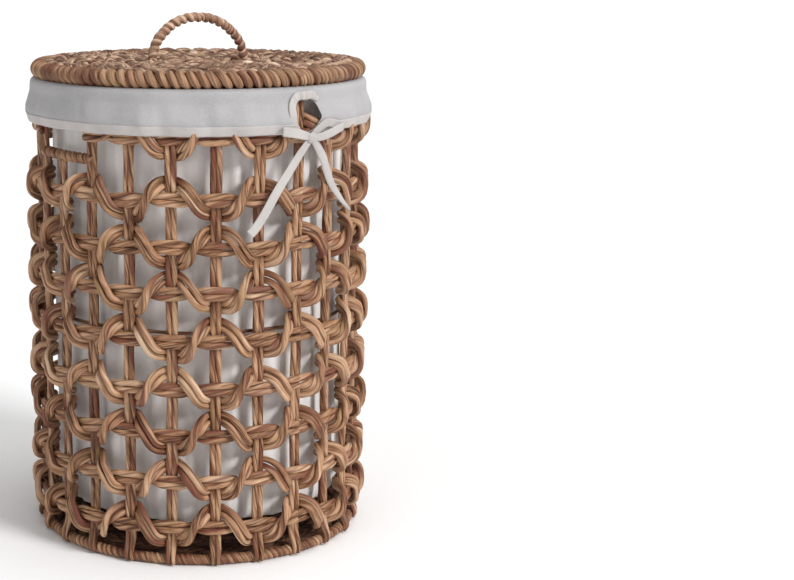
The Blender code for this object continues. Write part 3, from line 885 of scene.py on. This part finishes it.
def makeCuff():
    radiusAt = cuffShape(random.Random(611))
    line = smoothLine(cuff["profile"], 40)[::-1]
    degrees = np.arange(cuff["around"]) * 360 / cuff["around"]
    rings = [onWall(radiusAt(radius, height), degrees, height) for radius, height in line]
    obj = gridSheet("linerCuff", rings, True, cuff["map"])
    useModifier(obj, "SOLIDIFY", thickness=cuff["thickness"], offset=0.0)
    rings = [onWall(radiusAt(radius, height) + cuff["hemOut"], degrees, height)
             for radius, height in line if height < cuff["hemTop"] + 0.0008 and radius > 0.205]
    hem = gridSheet("cuffHem", rings, True, cuff["hemMap"])
    useModifier(hem, "SOLIDIFY", thickness=cuff["hemThickness"], offset=0.0)
    cutter = clothCutter(keyholeOutline(0.0), keyhole["cutDepth"])
    for cut in (obj, hem):
        useModifier(cut, "BOOLEAN", operation="DIFFERENCE", object=cutter, solver="EXACT")
        smoothAll(cut)
    bpy.data.objects.remove(cutter)
    dress(obj, cloth["lining"], "liner")
    dress(hem, cloth["tape"], "liner")
    return obj, hem


def strip(name, centres, across, width, thickness, bow, material):
    # a ribbon along its centres. Bow lifts its middle off its edges
    steps = 7
    centres, across = np.asarray(centres), unit(np.asarray(across))
    heading = headings(centres, False)
    across = unit(across - heading * (across * heading).sum(axis=1, keepdims=True))
    lift = np.cross(heading, across)
    width = np.zeros(len(centres)) + width
    rings = [centres + across * (share * width / 2)[:, None] + lift * (bow * (1 - share**2))
             for share in np.linspace(-1, 1, steps)]
    length = float(np.linalg.norm(np.diff(centres, axis=0), axis=1).sum())
    obj = gridSheet(name, rings, False, (length, float(width.max())))
    useModifier(obj, "SOLIDIFY", thickness=thickness, offset=0.0)
    smoothAll(obj)
    return dress(obj, material, "liner")


def makeBinding():
    # a straight strip at the left that turns over the top in pleats and ends at the right
    look = {"width": 0.0102, "thickness": 0.0008, "from": 226, "to": 46, "points": 200,
            "narrows": 0.45, "radius": 0.2165, "out": 0.0018, "over": 0.0004, "bow": 0.0006,
            "pleats": 0.0006,
            "heights": [0.523, 0.537, 0.543, 0.551, 0.560, 0.567],
            "radii": [0.2142, 0.2172, 0.2168, 0.2144, 0.2118, 0.2116]}
    count = look["points"]
    turned = np.linspace(look["from"], look["to"], count)
    picks = turned.round().astype(int) % 360
    degrees, heights = np.array(keyholeOutline(look["width"] / 2 - look["over"], 360))[picks].T
    rng = random.Random(621)
    top = smooth(150 - turned, 0, 25)
    pleat = wander(rng, count, 0.0003, (3, 5))
    pleat = pleat + look["pleats"] * top * np.sin(turned / 3.4 + wander(rng, count, 0.6, (5, 9)))
    radius = np.interp(heights, look["heights"], look["radii"])
    centres = smoothLine(onWall(radius + look["out"] + pleat, degrees, heights), count)
    inner, outer = (onWall(look["radius"], *np.array(keyholeOutline(grow, 360))[picks].T)
                    for grow in (0.0, look["width"]))
    width = look["width"] * (1 - look["narrows"] * smooth(turned, 75, 42))
    obj = strip("keyholeBinding", centres, outer - inner, width, look["thickness"], look["bow"],
                cloth["tape"])
    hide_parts("keyhole_binding")
    return obj


def makeBow():
    look = {"radius": 0.2228, "degrees": 0.5, "height": 0.5182, "thickness": 0.0007,
            "knot": (0.0072, 0.0036, 0.0062), "loopPoints": 64, "loopBow": 0.0004,
            "tailPoints": 60}
    bpy.ops.mesh.primitive_uv_sphere_add(segments=32, ring_count=18, radius=1)
    knot = bpy.context.object
    knot.name = "bowKnot"
    knot.scale = look["knot"]
    knot.location = onWall(look["radius"] + 0.0002, np.array(look["degrees"]), look["height"])
    placeInMesh(knot)
    for vertex in knot.data.vertices:
        # the tape's folds across the knot
        fold = math.sin(vertex.co.z * 1500 + vertex.co.x * 420)
        vertex.co.y -= 0.0004 * fold
        vertex.co.z += 0.0003 * fold
    bpy.ops.object.shade_smooth()
    dress(knot, cloth["tape"], "liner", ["tie_knot"])
    # each loop's path: how far it is to the side, outwards and up from the knot
    loops = {
        "Left": {"way": -1, "width": 0.0106, "flat": 0.084, "path": [
            (0.0, 0.0, 0.0010), (0.010, 0.0018, 0.0030), (0.022, 0.0028, 0.0060),
            (0.036, 0.0022, 0.0085), (0.0412, 0.0004, 0.0095), (0.036, -0.0014, 0.0092),
            (0.022, -0.0018, 0.0072), (0.010, -0.0014, 0.0035), (0.0, -0.0010, 0.0010)]},
        "Right": {"way": 1, "width": 0.0102, "flat": 0.114, "path": [
            (0.0, 0.0, 0.0), (0.012, 0.0020, 0.0005), (0.026, 0.0030, 0.0035),
            (0.043, 0.0024, 0.0080), (0.0545, 0.0004, 0.0098), (0.044, -0.0012, 0.0128),
            (0.026, -0.0016, 0.0155), (0.012, -0.0012, 0.0090), (0.0, -0.0010, 0.0015)]},
    }
    for side, own in loops.items():
        line = smoothLine(own["path"], look["loopPoints"])
        degrees = look["degrees"] + own["way"] * np.degrees(line[:, 0] / look["radius"])
        centres = onWall(look["radius"] + line[:, 1], degrees, look["height"] + line[:, 2])
        across = rowsOf((0, 0, 1), look["loopPoints"])
        width = own["width"] * (1 - 0.42 * np.exp(-line[:, 0] / 0.007))
        obj = strip(f"bowLoop{side}", centres, across, width, look["thickness"],
                    look["loopBow"], cloth["tape"])
        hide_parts(f"tie_loop_{side.lower()}")
    # each tail's path: degrees round the wall and heights
    tails = {
        "Left": {
            "widths": [0.0080, 0.0100, 0.0110, 0.0112, 0.0110, 0.0108], "bow": 0.0007,
            "flat": 0.134,
            "path": [(0.4, 0.5180), (-0.6, 0.5140), (-3.2, 0.5024), (-5.4, 0.4907),
                     (-7.65, 0.4779), (-9.9, 0.4660), (-12.4, 0.4515), (-15.5, 0.4323),
                     (-18.4, 0.4165), (-20.2, 0.4095)]},
        "Right": {
            "widths": [0.0080, 0.0120, 0.0120, 0.0092, 0.0062, 0.0030], "bow": -0.0018,
            "flat": 0.120,
            "path": [(0.6, 0.5180), (1.6, 0.5133), (4.2, 0.5005), (6.0, 0.4900), (7.5, 0.4778),
                     (9.6, 0.4628), (12.9, 0.4475), (16.3, 0.4350), (19.9, 0.4248)]},
    }
    for side, own in tails.items():
        degrees, heights = smoothLine(own["path"], look["tailPoints"]).T
        share = np.linspace(0, 1, look["tailPoints"])
        radius = look["radius"] - 0.0006 - 0.0018 * smooth(share, 0.0, 0.4)
        radius = radius + 0.0005 * np.sin(9 * share)
        centres = onWall(radius, degrees, heights)
        across = np.cross(headings(centres, False), onWall(1.0, degrees, 0.0))
        width = np.interp(share, np.linspace(0, 1, len(own["widths"])), own["widths"])
        obj = strip(f"bowTail{side}", centres, across, width, look["thickness"], own["bow"],
                    cloth["tape"])
        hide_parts(f"tie_tail_{side.lower()}")
        area = own["flat"] * float(np.mean(own["widths"]))


makeBag()
cuffObj, hemObj = makeCuff()
bindingObj = makeBinding()
makeBow()
print("hamper: the lining is hung and tied")


def makeStudio():
    look = {"floor": (0.97, 0.97, 0.97), "floorSize": 160, "world": 0.34, "lampDistance": 2.0}
    # each lamp: the degrees round the floor and above it that it shines from, its softness
    # in degrees and its strength
    lamps = {"keyLight": (14, 33, 20, 2.35), "fillLight": (-80, 28, 50, 0.40),
             "topLight": (60, 80, 40, 1.00)}
    bpy.ops.mesh.primitive_plane_add(size=look["floorSize"], location=(0, 0, -0.0005))
    floor = bpy.context.object
    floor.name = "studioFloor"
    floor.data.materials.append(NodeSheet("studioPaper").finish({
        "Base Color": (*look["floor"], 1), "Roughness": 0.9, "Specular IOR Level": 0.1}))
    world = bpy.data.worlds.new("studioAir")
    bpy.context.scene.world = world
    world.use_nodes = True
    background = world.node_tree.nodes["Background"]
    background.inputs[0].default_value = (1, 1, 1, 1)
    background.inputs[1].default_value = look["world"]
    for name, (around, above, soft, strength) in lamps.items():
        light = bpy.data.lights.new(name, "SUN")
        light.angle, light.energy = math.radians(soft), strength
        above = math.radians(above)
        place = look["lampDistance"] * onWall(math.cos(above), np.array(around), math.sin(above))
        lamp = linked(name, light)
        lamp.location = place
        lamp.rotation_euler = Vector(-place).to_track_quat("-Z", "Y").to_euler()


def makeCamera():
    look = {"distance": 2.1, "turn": -36.0, "height": 0.7448, "tilt": 0.2079, "lens": 75.04,
            "shift": (0.2506, -0.0025)}
    lens = bpy.data.cameras.new("studioCamera")
    lens.sensor_width, lens.lens = 36, look["lens"]
    lens.shift_x, lens.shift_y = look["shift"]
    camera = linked("studioCamera", lens)
    camera.location = onWall(look["distance"], np.array(look["turn"]), look["height"])
    camera.rotation_euler = (math.pi / 2 - look["tilt"], 0, math.radians(look["turn"]))
    bpy.context.scene.camera = camera


makeStudio()
makeCamera()
bpy.context.scene.view_settings.view_transform = "Standard"
